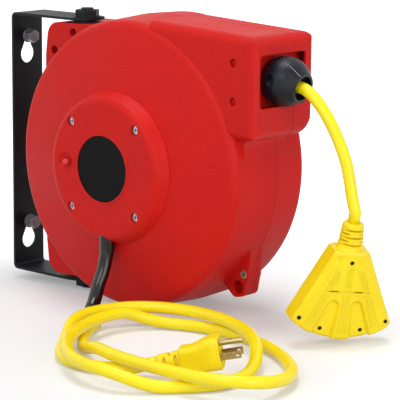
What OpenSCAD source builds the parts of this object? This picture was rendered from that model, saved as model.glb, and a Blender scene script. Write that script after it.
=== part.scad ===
// Retractable extension cord reel. A swivel wall bracket carries a moulded case with a spring
// drum inside. The output cord leaves the nose past a ball stop and ends in a triple tap; the
// lead-in cord leaves the front hub through a sleeve and ends in a three-pin plug.
// The origin is the centre of the bracket's wall face: +X away from the wall, -Y to the front
// of the case, +Z up. Millimetres.

/* [Bracket] */
// Height of the bracket over both arms
bracket_h = 262; // [256:1:275]
// Width of the wall plate and of the arms
bracket_w = 40; // [34:1:46]
// Thickness of the bracket's steel
bracket_t = 2.5; // [2:0.5:4]
// Inner radius of the bracket's bends
bend_r = 3; // [2:0.5:6]
// Distance from the wall to the swivel axis
swivel_x = 86; // [84:1:100]
// Reach of the arms past the swivel axis
arm_reach = 14; // [13:1:18]
// Least gap between the round case and the ends of the arms
arm_clear = 8.5; // [8:0.1:12]
// Distance between the two keyholes
key_pitch = 190.5; // [170:0.5:196]
// Height of the upper keyhole's round hole over the plate's centre
key_top_z = 88; // [80:1:92]
// Rise from a keyhole's round hole to the end of its slot
key_rise = 18; // [15:1:20]
// Radius of a keyhole's round hole
key_r = 9.6; // [9:0.1:10]
// Width of a keyhole's slot
slot_w = 7; // [6.6:0.1:8]

/* [Fasteners] */
// Shank radius of the wall bolts
wall_bolt_r = 3.2; // [3:0.1:3.2]
// Width across the flats of the wall bolts
wall_bolt_af = 11.5; // [10:0.5:13]
// Height of the wall bolts' heads
wall_head_h = 8.5; // [5:0.5:9]
// Length of the wall bolts behind the plate
wall_bolt_out = 16; // [10:1:18]
// Outer radius of the wall washers
wall_washer_r = 7; // [6.6:0.1:8.4]
// Shank radius of the swivel bolts
pivot_r = 6; // [5:0.5:6]
// Width across the flats of the swivel nuts
pivot_af = 21; // [19:1:22]
// Height of the swivel nuts
pivot_nut_h = 7; // [5:0.5:8]
// Shank radius of the case screws
case_screw_r = 2.5; // [2:0.25:2.5]
// Shank radius of the hub cover's screws
cover_screw_r = 2; // [1.5:0.25:2]

/* [Case] */
// Radius of the case at the seam
case_r = 140; // [136:1:142]
// Draft of the front shell from the seam to the ridge
front_draft = 3; // [2:0.5:5]
// Draft of the back shell from the seam to the back edge
back_draft = 1; // [0.5:0.5:3]
// Wall thickness of the mouldings
wall = 3; // [2.5:0.5:3.5]
// Depth from the swivel plane to the front ridge
ridge_d = 44; // [42:1:48]
// Depth from the swivel plane to the back edge
back_d = 59.5; // [56:0.5:62]
// Depth from the swivel plane to the seam between the shells
seam_d = 15; // [15:1:18]
// Radius of the rounded edges of the case
edge_r = 10; // [8:1:14]
// Radius of the front hub at its base
hub_r = 72.8; // [70:0.1:76]
// Depth from the swivel plane to the front web
web_d = 58; // [56:1:60]
// Height of the hub cover over the web
cover_h = 14.7; // [14:0.1:18]
// Radius of the round edge of the hub cover
cover_edge_r = 9; // [6:1:11]
// Radius of the raised back hub
back_hub_r = 72; // [66:1:76]
// Height of the raised back hub
back_hub_h = 9; // [6:1:12]

/* [Nose and lugs] */
// Reach of the nose past the round case
nose_past = 17; // [14:1:22]
// Drop from the top of the case to the top of the nose at its outlet
nose_drop = 7.5; // [5:0.5:9]
// Height of the nose at its outlet
nose_h = 93.5; // [90:0.5:98]
// Fall of the nose's top towards the outlet, in degrees
nose_slope = 3; // [0:0.5:4]
// Depth of the nose's front side
nose_front = 41; // [40:1:43]
// Depth of the nose's back side
nose_back = 44; // [41:1:46]
// Drop from the nose's top to the output cord
outlet_drop = 41.5; // [40:0.5:43]
// Width of the cord outlet
outlet_w = 65; // [60:1:66]
// Height of the cord outlet
outlet_h = 48; // [47:0.5:49]
// Reach of the pivot block past the swivel axis
block_past = 37.5; // [36:0.5:42]
// Depth of the pivot block's front face
block_front = 20; // [18:1:24]
// Depth of the pivot block's back face
block_back = 40; // [30:1:44]

/* [Drum] */
// Radius of the drum's barrel
barrel_r = 48; // [40:1:52]
// Radius of the drum's flanges
flange_r = 108; // [104:1:112]
// Thickness of the drum's flanges
flange_t = 3; // [2.5:0.5:3.5]
// Width between the drum's flanges
wind_w = 70; // [68:1:71]
// Radius of the fixed drum shaft
shaft_r = 8; // [7:0.5:9]
// Inner radius of the spring cup
cup_r = 60; // [55:1:62]
// Inner depth of the spring cup
cup_d = 20; // [16:1:21]
// Loops of cord in the outer layer
outer_loops = 2.5; // [2:0.5:2.5]

/* [Cords] */
// Diameter of both cords
cord_d = 11; // [9:0.5:11]
// Radius of the lead-in cord's sleeve
sleeve_r = 6.5; // [6:0.25:7]
// Radius of the ball stop
ball_r = 23; // [22:0.5:23]
// Angle of the ball stop's mouth under the horizontal
ball_tilt = 14; // [10:1:24]

/* [Tap and plug] */
// Width of the tap at its outlets
tap_w = 94; // [84:1:100]
// Width of the tap at its strain relief
tap_top_w = 32; // [28:1:36]
// Height of the fan of the tap
tap_h = 83; // [76:1:90]
// Thickness of the tap
tap_t = 28; // [26:1:32]
// Width of the plug
plug_w = 27; // [25:1:30]
// Height of the plug
plug_h = 29; // [27:1:32]
// Length of the plug's body
plug_len = 35; // [33:1:42]

/* [Hidden] */

$fn = 64;
round_fn = 128;
run_gap = 0.3;
fit_gap = 0.05;
through = 1;
cord_r = cord_d / 2;
arm_in = bracket_h / 2 - bracket_t;
case_offset = ceil(arm_reach + sqrt(pow(case_r + arm_clear, 2) - pow(arm_in, 2)));
axis_x = swivel_x + case_offset;
ridge_r = case_r - front_draft;
back_r = case_r - back_draft;
nose_reach = case_r + nose_past;
nose_top = case_r - nose_drop;
nose_bottom = nose_top - nose_h;
outlet_z = nose_top - outlet_drop;
outlet_mid = outlet_z + 1;
block_reach = case_offset + block_past;
seat_t = 1.2;
spacer_t = 1.6;
block_top = arm_in - spacer_t - seat_t - fit_gap * 4;
bolt_zs = [key_top_z + key_rise, key_top_z + key_rise - key_pitch];
wall_washer_t = 1.6;
thread_drop = 0.2;
wall_thread_r = wall_bolt_r - thread_drop;
bushing_r = 9;
bushing_l = 22;
pivot_boss_r = 13.5;
pivot_boss_z = block_top - bushing_l - 2;
red = [0.78, 0.13, 0.12];
yellow = [0.95, 0.82, 0.1];
black = [0.08, 0.09, 0.1];
steel = [0.75, 0.75, 0.76];
brass = [0.8, 0.62, 0.3];

// ---- helpers ----

function unit(v) = v / norm(v);

// Points on an arc about c from angle a0 to a1
function arc_points(c, r, a0, a1, n = 8) =
  [for (k = [0:n]) let (a = a0 + (a1 - a0) * k / n) [c[0] + r * cos(a), c[1] + r * sin(a)]];

// The arc that rounds corner b between its neighbours a and c
function corner_arc(a, b, c, r, n) =
  let (u = unit(a - b), v = unit(c - b), half = acos(u * v) / 2,
    m = b + unit(u + v) * r / sin(half), s = b + u * r / tan(half), e = b + v * r / tan(half),
    a0 = atan2(s[1] - m[1], s[0] - m[0]), d = atan2(e[1] - m[1], e[0] - m[0]) - a0,
    sweep = d > 180 ? d - 360 : d < -180 ? d + 360 : d)
  [for (k = [0:n]) m + r * [cos(a0 + sweep * k / n), sin(a0 + sweep * k / n)]];

// A polygon from corners [x, y, radius]
function rounded(corners, n = 6) =
  let (q = len(corners))
  [for (i = [0:q - 1]) let (p = corners[i], b = [p[0], p[1]], l = corners[(i + q - 1) % q],
    r = corners[(i + 1) % q])
    each p[2] > 0 ? corner_arc([l[0], l[1]], b, [r[0], r[1]], p[2], n) : [b]];

module at_axis() translate([axis_x, 0, 0]) children();

module plate_xz(y0, y1) translate([0, y1, 0]) rotate([90, 0, 0])
  linear_extrude(y1 - y0) children();

module plate_yz(x0, x1) translate([x0, 0, 0]) rotate([90, 0, 90])
  linear_extrude(x1 - x0) children();

module revolve_y(profile) rotate([-90, 0, 0]) rotate_extrude($fn = round_fn) polygon(profile);

module rod_x(r, x0, x1) translate([x0, 0, 0]) rotate([0, 90, 0]) cylinder(r = r, h = x1 - x0);

module rod_y(r, y0, y1) translate([0, y0, 0]) rotate([-90, 0, 0]) cylinder(r = r, h = y1 - y0);

module rod_z(r, z0, z1) translate([0, 0, z0]) cylinder(r = r, h = z1 - z0);

module tube_y(r1, r0, y0, y1) difference() {
  rod_y(r1, y0, y1);
  rod_y(r0, y0 - through, y1 + through);
}

module hex_z(af, z0, z1) translate([0, 0, z0]) cylinder(r = af / sqrt(3), h = z1 - z0, $fn = 6);

module up_and_down() {
  children();
  mirror([0, 0, 1]) children();
}

// ---- swept cords ----

function path_tangent(p, i) = unit(p[min(i + 1, len(p) - 1)] - p[max(i - 1, 0)]);

function flat(v, t) = unit(v - (v * t) * t);

// A side vector at each point, carried along the path without twist
function path_sides(p, s0) =
  [for (i = 0, s = flat(s0, path_tangent(p, 0)); i < len(p);
    i = i + 1, s = flat(s, path_tangent(p, i))) s];

// Points of a smooth curve through hand-set points, with m steps between each two
function smooth(p, m) =
  let (n = len(p))
  [for (i = [0:n - 2], k = [0:m - 1])
    let (u = k / m, a = p[max(i - 1, 0)], b = p[i], c = p[i + 1], d = p[min(i + 2, n - 1)])
    b + u * (c - a) / 2 + u * u * (2 * a - 5 * b + 4 * c - d) / 2
      + u * u * u * (3 * b - a - 3 * c + d) / 2,
    p[n - 1]];

// A closed round tube along the points from i0 to i1 of a path
module sweep(path, r, sides, i0 = 0, i1 = -1, s0 = [0, 0, 1]) {
  last = i1 < 0 ? len(path) - 1 : i1;
  side = path_sides(path, s0);
  rings = [for (i = [i0:last]) let (t = path_tangent(path, i), u = side[i], v = cross(t, u))
    [for (k = [0:sides - 1]) path[i] + r * (cos(360 * k / sides) * u + sin(360 * k / sides) * v)]];
  n = len(rings);
  points = [for (ring = rings) each ring];
  skin = [for (i = [0:n - 2], k = [0:sides - 1])
    let (a = i * sides + k, b = i * sides + (k + 1) % sides)
    each [[a, b, b + sides], [a, b + sides, a + sides]]];
  first_cap = [for (k = [1:sides - 2]) [0, k + 1, k]];
  base = (n - 1) * sides;
  last_cap = [for (k = [1:sides - 2]) [base, base + k, base + k + 1]];
  faces = concat(skin, first_cap, last_cap);
  polyhedron(points = points, faces = [for (t = faces) [t[0], t[2], t[1]]]);
}

// ---- wall bracket and its fasteners ----

// Round hole with a slot that narrows upwards, seen along X as (Y, Z)
module keyhole_outline(grow = 0) {
  circle(r = key_r + grow);
  s = slot_w / 2 + grow;
  polygon([[-key_r * 0.94, key_r * 0.3], [key_r * 0.94, key_r * 0.3], [s, key_r + 5], [-s, key_r + 5]]);
  translate([-s, 0]) square([2 * s, key_rise]);
  translate([0, key_rise]) circle(r = s);
}

module bracket() color(black) difference() {
  intersection() {
    plate_xz(-bracket_w / 2, bracket_w / 2) polygon(rounded([
      [0, -bracket_h / 2, bend_r + bracket_t], [swivel_x + arm_reach, -bracket_h / 2, 0],
      [swivel_x + arm_reach, -arm_in, 0], [bracket_t, -arm_in, bend_r],
      [bracket_t, arm_in, bend_r], [swivel_x + arm_reach, arm_in, 0],
      [swivel_x + arm_reach, bracket_h / 2, 0], [0, bracket_h / 2, bend_r + bracket_t]]));
    end_r = bracket_w / 2 + 2;
    translate([0, 0, -bracket_h]) linear_extrude(2 * bracket_h) polygon(rounded([
      [-1, -bracket_w / 2 - 1, 0], [swivel_x - 14, -bracket_w / 2 - 1, 0],
      [swivel_x + arm_reach, -bracket_w / 2 + 5, 12], [swivel_x + arm_reach, bracket_w / 2 - 5, 12],
      [swivel_x - 14, bracket_w / 2 + 1, 0], [-1, bracket_w / 2 + 1, 0]]));
  }
  translate([swivel_x, 0, -bracket_h]) cylinder(r = pivot_r + fit_gap, h = 2 * bracket_h);
  for (z = bolt_zs) translate([0, 0, z - key_rise])
    plate_yz(-through, bracket_t + through) keyhole_outline();
}

module wall_bolts() color(steel) for (z = bolt_zs) translate([0, 0, z]) {
  rod_x(wall_thread_r, -wall_bolt_out, 0);
  rod_x(wall_bolt_r, 0, bracket_t + wall_washer_t);
  translate([bracket_t + wall_washer_t, 0, 0]) rotate([0, 90, 0])
    hex_z(wall_bolt_af, 0, wall_head_h);
}

module wall_washers() color(steel) for (z = bolt_zs) translate([bracket_t, 0, z]) difference() {
  rod_x(wall_washer_r, 0, wall_washer_t);
  rod_x(wall_bolt_r + fit_gap, -through, wall_washer_t + through);
}

module pivot_bolts() color(steel) translate([swivel_x, 0, 0]) up_and_down() {
  rod_z(pivot_r, pivot_boss_z - run_gap, bracket_h / 2 + pivot_nut_h + 2);
  hex_z(2.8 * pivot_r, pivot_boss_z - run_gap - 5, pivot_boss_z - run_gap);
}

module pivot_nuts() color(black) translate([swivel_x, 0, 0]) up_and_down() difference() {
  union() {
    rod_z(pivot_af * 0.6, bracket_h / 2, bracket_h / 2 + 1);
    hex_z(pivot_af, bracket_h / 2, bracket_h / 2 + pivot_nut_h);
  }
  rod_z(pivot_r + fit_gap, bracket_h / 2 - through, bracket_h / 2 + pivot_nut_h + through);
}

module pivot_spacers() color(black) translate([swivel_x, 0, 0]) up_and_down() difference() {
  rod_z(pivot_r + 3, arm_in - spacer_t, arm_in);
  rod_z(pivot_r + fit_gap, 0, bracket_h);
}

// ---- case ----

cone_a = atan((web_d - ridge_d) / (ridge_r - edge_r - hub_r));
back_web_d = back_d + 8;
back_cone_a = atan((back_web_d - back_d) / (back_r - edge_r - back_hub_r));
hub_edge = 8;

// Outline of the round body, [radius, depth], drawn in by g
function case_profile(g) = concat(
  [[0, g - web_d], [hub_r, g - web_d]],
  arc_points([ridge_r - edge_r, edge_r - ridge_d], edge_r - g, cone_a - 90, 0),
  [[case_r - g, seam_d]],
  arc_points([back_r - edge_r, back_d - edge_r], edge_r - g, 0, 90 - back_cone_a),
  [[back_hub_r - g, back_web_d - g]],
  arc_points([back_hub_r - hub_edge, back_web_d + back_hub_h - hub_edge], hub_edge - g, 0, 90),
  [[0, back_web_d + back_hub_h - g]]);

nose_start = 30;
nose_rise = (nose_reach - nose_start) * tan(nose_slope);
nose_fillet = 8;
nose_chamfer = [14, 18];

module nose_body(g) intersection() {
  plate_xz(g - nose_front, nose_back - g) polygon(rounded([
    [nose_start, nose_top + nose_rise - g, 0], [nose_reach - g, nose_top - g, 11 - g],
    [nose_reach - g, nose_bottom + g, 9 - g], [nose_start, nose_bottom + g, 0]]));
  translate([0, 0, nose_bottom - through]) linear_extrude(nose_h + nose_rise + 2 * through)
    polygon(rounded([[nose_start - 1, g - nose_front, 0], [nose_reach - g, g - nose_front, 10 - g],
      [nose_reach - g, nose_back - g, 5 - g], [nose_start - 1, nose_back - g, 0]]));
  translate([nose_reach, 0, nose_top]) rotate([0, nose_slope, 0])
    plate_yz(nose_start - nose_reach - 2 * wall, nose_past) polygon(rounded([
      [g - nose_front, g - 1.2 * nose_h, 0], [nose_back - g, g - 1.2 * nose_h, 0],
      [nose_back - g, -g, 7 - g], [g - nose_front, -g, 9 - g]]));
  plate_yz(nose_start - 1, nose_reach + 1) polygon(rounded([
    [g - nose_front, nose_bottom + g, 8 - g],
    [nose_back - nose_chamfer[0], nose_bottom + g, 4 - g / 2],
    [nose_back - g, nose_bottom + nose_chamfer[1], 6 - g], [nose_back - g, 2 * case_r, 0],
    [g - nose_front, 2 * case_r, 0]]));
}

// Fillet between the nose's underside and the round case
module nose_fillet() plate_xz(10 - nose_front, nose_back - nose_chamfer[0] - 2) polygon(rounded([
  [nose_reach - nose_fillet - 2, nose_bottom + wall, 0], [nose_reach - nose_fillet - 2, nose_bottom, 0],
  [case_r - 3.5, nose_bottom, nose_fillet], [case_r - 1.5, nose_bottom - 18, 0],
  [case_r - 9, nose_bottom - 18, 0], [case_r - 9, nose_bottom + wall, 0]]));

block_corner = [4, 33, 14];

module block_body(g) plate_xz(g - block_front, block_back - g) polygon(rounded([
  [-50, block_top - g, 0],
  [block_corner[0] - block_reach + g, block_top - g, block_corner[2] - g],
  [g - block_reach, block_top - block_corner[1], 30],
  [g - block_reach, block_corner[1] - block_top, 30],
  [block_corner[0] - block_reach + g, g - block_top, block_corner[2] - g],
  [-50, g - block_top, 0]]));

lug_y = [2.5, 21.5];
lug_a = -40.9;
lug_screw = (case_r + 6.8) * [cos(lug_a), sin(lug_a)];
lug_hollow = [-6.1, -12.9];
lug_hollow_r = 6.5;

// Lug drawn round its screw
module lug_body() translate([lug_screw[0], 0, lug_screw[1]]) plate_xz(lug_y[0], lug_y[1])
  polygon(rounded([[-51, 16, 0], [-21, -14.3, 3], [-10.5, -23.4, 6], [2, -20.9, 7], [6, 0, 10],
    [9.5, 30.5, 0]]));

module body(g) {
  revolve_y(case_profile(g));
  nose_body(g);
  block_body(g);
  if (g == 0) {
    nose_fillet();
    lug_body();
  }
}

module slab(y0, y1) translate([-200, y0, -200]) cube([400, y1 - y0, 400]);

// Case screws, [x, z, front face, back face, depth of the head under the front face]
block_screw = [block_reach - 12, block_top - 27.8];
case_screw_at = [[-block_screw[0], block_screw[1], -block_front, block_back, 10],
  [-block_screw[0], -block_screw[1], -block_front, block_back, 10],
  [lug_screw[0], lug_screw[1], lug_y[0], lug_y[1], 0.6]];
bushing_screw_z = block_top - 9;
bushing_screw_sink = 6.5;
screw_head_r = 4;
head_t = 2.2;
blind_wall = 2.5;
post_r = 7;
rib_angles = [100, 116, 156, 172, 188, 204, 244, 260, 276, 292, 330];

module outlet_cut() plate_yz(nose_reach - 2 * wall, nose_reach + through) polygon(rounded([
  [-outlet_w / 2, outlet_mid - outlet_h / 2, 4], [outlet_w / 2, outlet_mid - outlet_h / 2, 4],
  [outlet_w / 2, outlet_mid + outlet_h / 2, 4], [-outlet_w / 2, outlet_mid + outlet_h / 2, 4]]));

module rib(a, r0, r1, y0, y1) rotate([0, -a, 0]) translate([r0, y0, -1]) cube([r1 - r0, y1 - y0, 2]);

cover_screw_at = [for (x = [-1, 1], z = [-1, 1]) [x * 40.8, z * 40.8]];
web_hole_r = 34;
breaker_x = -47.9;
breaker_z = 1.2;
breaker_size = [14, 20.4, 26];

module front_shell() color(red) at_axis() difference() {
  union() {
    difference() {
      intersection() {
        body(0);
        slab(-100, seam_d);
      }
      body(wall);
    }
    up_and_down() translate([-case_offset, 0, 0]) {
      rod_z(pivot_boss_r, pivot_boss_z, block_top - wall / 2);
      translate([0, 0, bushing_screw_z]) rod_y(screw_head_r + 2.7, 1 - block_front, -bushing_r);
    }
    at_pawl_boss() rod_y(post_r, pawl_boss_y0 - 3, pawl_boss_y1);
    for (s = case_screw_at) translate([s[0], 0, s[1]]) rod_y(post_r, s[2] + 1, seam_d);
    for (s = cover_screw_at) translate([s[0], 0, s[1]]) rod_y(5, 1 - web_d, 10 - web_d);
    for (a = rib_angles) rib(a, flange_r + 5, ridge_r - 1.5, 2 * wall - ridge_d, seam_d - 2);
  }
  outlet_cut();
  rod_y(web_hole_r, -web_d - through, -web_d + 2 * wall);
  translate([breaker_x, -web_d, breaker_z])
    cube([breaker_size[0] + 1, 4 * wall, breaker_size[2] + 1], center = true);
  for (s = cover_screw_at) translate([s[0], 0, s[1]])
    rod_y(cover_screw_r + fit_gap, -web_d - through, 10 - web_d + through);
  for (s = case_screw_at) translate([s[0], 0, s[1]]) {
    rod_y(case_screw_r + fit_gap, s[2] - through, seam_d + through);
    rod_y(screw_head_r + 0.5, s[2] - through, s[2] + s[4] + head_t);
  }
  up_and_down() translate([-case_offset, 0, 0]) {
    rod_z(bushing_r + fit_gap, pivot_boss_z - through, block_top + through);
    translate([0, 0, bushing_screw_z]) {
      rod_y(screw_head_r + 0.5, -block_front - through, -block_front + bushing_screw_sink + head_t);
      rod_y(case_screw_r + fit_gap, -block_front, -bushing_r + 1);
    }
  }
  at_pawl_boss() rod_y(pawl_pin_r + fit_gap, pawl_boss_y0 - 0.2, pawl_boss_y1 + through);
  for (s = [-1, 1]) translate([flat_roller_x, 0, outlet_z + s * flat_roller_dz])
    rod_y(4, -nose_front - through, -nose_front + wall + through);
  translate([lug_screw[0] + lug_hollow[0], 0, lug_screw[1] + lug_hollow[1]])
    rod_y(lug_hollow_r, lug_y[0] - through, seam_d - blind_wall);
  seam_cut();
}

// Shallow groove on the outside of the seam
module seam_cut() difference() {
  slab(seam_d - 0.6, seam_d + 0.1);
  body(0.7);
}

module back_shell() color(red) at_axis() difference() {
  union() {
    difference() {
      intersection() {
        body(0);
        slab(seam_d, 100);
      }
      body(wall);
    }
    for (s = case_screw_at) translate([s[0], 0, s[1]]) rod_y(post_r, seam_d, s[3] - 1);
    rod_y(2 * shaft_r, back_web_d + back_hub_h - wall - 11, back_web_d + back_hub_h - 1);
    intersection() {
      for (a = [15:30:345]) rib(a, cup_r + 3 * wall, back_r, back_d - 10, back_web_d);
      body(wall / 2);
    }
  }
  outlet_cut();
  rod_y(shaft_r + fit_gap, 0, back_web_d + back_hub_h - wall);
  for (s = case_screw_at) translate([s[0], 0, s[1]])
    rod_y(case_screw_r + fit_gap, seam_d - through, s[3] - blind_wall);
}

// ---- hub cover and what it carries ----

cover_face = -web_d - cover_h;
cover_wall = 2.5;
label_r = 31.3;
label_d = 0.8;
inlet_y = cover_face + 7.8;
neck_r = 5;
button_r = 3.5;
button_travel = 1.5;
cover_screw_sink = 2.6;
slip_core_y = -web_d - 4;

function cover_profile(g) = concat(
  [[0, cover_face + g]],
  arc_points([hub_r - 3.3 - cover_edge_r, cover_face + cover_edge_r], cover_edge_r - g, -90, -15),
  [[hub_r - 0.3 - g, -web_d], [0, -web_d]]);

module hub_cover() color(red) at_axis() difference() {
  union() {
    difference() {
      revolve_y(cover_profile(0));
      translate([0, 0.01, 0]) revolve_y(cover_profile(cover_wall));
    }
    for (s = cover_screw_at) translate([s[0], 0, s[1]]) rod_y(6, cover_face + 1, -web_d);
    tube_y(label_r + 2.2, label_r + 0.2, cover_face - 0.7, cover_face + 1);
    translate([breaker_x, 0, breaker_z]) rod_y(11, cover_face + 1, cover_face + 6);
    tube_y(2 * shaft_r - 2, shaft_r + fit_gap, cover_face + 1, slip_core_y - run_gap);
  }
  rod_y(label_r + 0.2, cover_face - through, cover_face + label_d);
  for (s = cover_screw_at) translate([s[0], 0, s[1]]) {
    rod_y(4.6, cover_face - through, cover_face + cover_screw_sink + head_t);
    rod_y(cover_screw_r + fit_gap, cover_face, -web_d + through);
  }
  translate([breaker_x, 0, breaker_z]) {
    translate([0, cover_face - 0.01, 0]) rotate([-90, 0, 0]) cylinder(r1 = 10, r2 = 6, h = 3);
    rod_y(button_r + run_gap, cover_face, -web_d);
  }
  translate([0, inlet_y, 0]) rod_z(neck_r + fit_gap, -hub_r - through, -55);
  translate([0, inlet_y, 0]) rod_z(sleeve_r + 1, -hub_r - through, -hub_r + 1.5);
}

module label_plate() color(black) at_axis()
  rod_y(label_r, cover_face + 0.2, cover_face + label_d);

module pan_screw_y(r, head_r, y_head, y_end) {
  rod_y(r, y_head + head_t, y_end);
  difference() {
    rod_y(head_r, y_head, y_head + head_t);
    for (a = [0, 90]) rotate([0, a, 0]) translate([-head_r * 0.6, y_head - 0.1, -0.45])
      cube([head_r * 1.2, 1.1, 0.9]);
  }
}

module cover_screws() color(steel) at_axis() for (s = cover_screw_at) translate([s[0], 0, s[1]])
  pan_screw_y(cover_screw_r, 4, cover_face + cover_screw_sink, 9 - web_d);

module case_screws() color(steel) at_axis() for (s = case_screw_at) translate([s[0], 0, s[1]])
  pan_screw_y(case_screw_r, screw_head_r, s[2] + s[4], s[3] - blind_wall - 1);

module bushing_screws() color(steel) at_axis() for (z = [-1, 1])
  translate([-case_offset, 0, z * bushing_screw_z])
    pan_screw_y(case_screw_r, screw_head_r, bushing_screw_sink - block_front, -bushing_r - 0.2);

module pivot_bushings() color(black) translate([swivel_x, 0, 0]) up_and_down() difference() {
  union() {
    rod_z(bushing_r, block_top - bushing_l, block_top + seat_t);
    rod_z(pivot_boss_r - 0.5, block_top, block_top + seat_t);
  }
  rod_z(pivot_r + fit_gap, 0, bracket_h);
}

module breaker_body() color(black) at_axis() difference() {
  translate([breaker_x - breaker_size[0] / 2, cover_face + 6, breaker_z - breaker_size[2] / 2])
    cube(breaker_size);
  translate([breaker_x, 0, breaker_z]) rod_y(button_r + run_gap, cover_face, cover_face + 13);
}

module reset_button() color(red) at_axis() translate([breaker_x, 0, breaker_z]) {
  rod_y(button_r, cover_face + 1, cover_face + 13 - button_travel - run_gap);
  translate([0, cover_face + 1, 0]) rotate([-90, 0, 0]) sphere(r = button_r * 0.98);
}

// ---- drum and spring ----

half_w = wind_w / 2;
front_face = -half_w - flange_t;
back_face = half_w + flange_t;
drum_bushing_r = shaft_r + 3;
hub_tube_r = drum_bushing_r + 5;
drum_screw_at = [for (a = [45:90:315]) 30 * [cos(a), sin(a)]];
shaft_y0 = cover_face + 3.3;
shaft_y1 = back_web_d + back_hub_h - wall - run_gap;
core_r = outlet_z - cord_r - run_gap;

module drum_shaft() color(steel) at_axis() difference() {
  rod_y(shaft_r, shaft_y0, shaft_y1);
  translate([-1, shaft_y1 - 24, -shaft_r - 1]) cube([2, 14, 2 * shaft_r + 2]);
}

module flange_windows(y) for (a = [30:60:330]) rotate([0, a, 0])
  translate([78, 0, 0]) rod_y(13, y - flange_t, y + flange_t);

module drum_back() color(black) at_axis() difference() {
  union() {
    tube_y(barrel_r, barrel_r - 4, -half_w + 0.2, half_w + 1);
    rod_y(flange_r, half_w, back_face);
    rod_y(hub_tube_r, half_w - 9, back_face);
    tube_y(cup_r + 3, cup_r, half_w + 1, back_face + cup_d);
    for (s = drum_screw_at) translate([s[0], 0, s[1]]) rod_y(5, -half_w + 0.2, half_w + 1);
    for (a = [0:90:270]) rib(a, hub_tube_r - 1, barrel_r - 3, half_w - 9, half_w + 1);
  }
  rod_y(drum_bushing_r + fit_gap, 0, 2 * half_w);
  for (s = drum_screw_at) translate([s[0], 0, s[1]])
    rod_y(case_screw_r + fit_gap, -half_w - through, 0);
  flange_windows(half_w + flange_t / 2);
}

module drum_front() color(black) at_axis() difference() {
  union() {
    rod_y(flange_r, front_face, -half_w);
    rod_y(hub_tube_r, front_face, -half_w + 7);
    tube_y(barrel_r - 4.2, barrel_r - 7, -half_w - 1, -half_w + 5);
  }
  rod_y(drum_bushing_r + fit_gap, -2 * half_w, 0);
  for (s = drum_screw_at) translate([s[0], 0, s[1]])
    rod_y(case_screw_r + fit_gap, front_face - through, 0);
  flange_windows(-half_w - flange_t / 2);
}

module drum_screws() color(steel) at_axis() for (s = drum_screw_at) translate([s[0], 0, s[1]])
  pan_screw_y(case_screw_r, 4, front_face - 2.2, -5);

module drum_bushings() color(brass) at_axis() {
  tube_y(drum_bushing_r, shaft_r + fit_gap, front_face, -half_w + 7);
  tube_y(drum_bushing_r, shaft_r + fit_gap, half_w - 9, back_face);
}

module spring_arbor() color(steel) at_axis() difference() {
  rod_y(14, back_face + run_gap, back_face + cup_d);
  rod_y(shaft_r + fit_gap, 0, 100);
}

spring_turns = 9;
spring_t = 1;
spring_r0 = 14.4;
spring_r1 = cup_r - 0.8;

// Flat steel band wound from the arbor out to the cup's wall
module power_spring() color(steel) at_axis() plate_xz(back_face + 1, back_face + cup_d - 1) {
  steps = spring_turns * 24;
  radius = [for (i = [0:steps]) spring_r0 + (spring_r1 - spring_r0 - spring_t) * i / steps];
  turn = [for (i = [0:steps]) [cos(15 * i), sin(15 * i)]];
  polygon(concat([for (i = [0:steps]) radius[i] * turn[i]],
    [for (i = [steps:-1:0]) (radius[i] + spring_t) * turn[i]]));
}

ratchet_r = 70;
ratchet_t = 3.4;
ratchet_teeth = 12;

module ratchet_ring() color(steel) at_axis() plate_xz(front_face - ratchet_t, front_face)
  difference() {
    circle(r = ratchet_r);
    circle(r = 52, $fn = 96);
    for (i = [0:ratchet_teeth - 1]) rotate(i * 360 / ratchet_teeth)
      polygon([[ratchet_r - 6, 0], [ratchet_r + 2, -1], [ratchet_r + 2, 14], [ratchet_r - 0.5, 13]]);
  }

pawl_a = 160;
pawl_r = 88;
pawl_pin_r = 2.5;
pawl_y = front_face - ratchet_t;

tip_z = 25;
tip_gap = 0.76;
tip_x = pawl_r - sqrt(pow(ratchet_r + tip_gap, 2) - pow(tip_z, 2));
pawl_boss_y0 = 9.2 - web_d;
pawl_boss_y1 = pawl_y - 1.6;

module at_pawl_boss() translate([pawl_r * cos(pawl_a), 0, pawl_r * sin(pawl_a)]) children();

module at_pawl() at_axis() at_pawl_boss() rotate([0, 180 - pawl_a, 0]) children();

// Lever from its pin to a tip that rides on the ratchet ring
module pawl() color(steel) at_pawl() difference() {
  plate_xz(pawl_y, pawl_y + ratchet_t - run_gap) union() {
    circle(r = 6);
    polygon(rounded([[-4, 5, 0], [-4, -5, 0], [tip_x - 5.8, tip_z - 8, 2], [tip_x, tip_z, 0.4],
      [tip_x - 11.8, tip_z - 3, 3]]));
  }
  rod_y(pawl_pin_r + fit_gap, -100, 0);
}

module pawl_pin() color(steel) at_pawl() {
  rod_y(pawl_pin_r, pawl_boss_y0, pawl_y + ratchet_t - run_gap);
  rod_y(5, pawl_boss_y1, pawl_y - run_gap);
}

ring_w = 3;
ring_pitch = 5;
ring_y = [for (k = [0:2]) slip_core_y + 4 + k * ring_pitch];
slip_core_r = 15;
slip_r = 18;

module slip_ring_core() color(black) at_axis() difference() {
  union() {
    rod_y(slip_core_r, slip_core_y, front_face - 2);
    rod_y(slip_core_r + 8, front_face - 4, front_face);
  }
  rod_y(shaft_r + run_gap, -100, 0);
}

module slip_rings() color(brass) at_axis() for (y = ring_y)
  tube_y(slip_r, slip_core_r + fit_gap, y - ring_w / 2, y + ring_w / 2);

module brush_block() color(black) at_axis() difference() {
  union() {
    translate([24, slip_core_y - 4, -9]) cube([9, 20, 18]);
    translate([24, slip_core_y, -9]) cube([24, -web_d - run_gap - slip_core_y, 18]);
  }
  for (y = ring_y) rod_at_x(y, 2.05);
}

module rod_at_x(y, r) translate([0, y, 0]) rod_x(r, 20, 50);

module brushes() color(brass) at_axis() for (y = ring_y) translate([0, y, 0])
  rod_x(2, slip_r + run_gap, 33);

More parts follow.
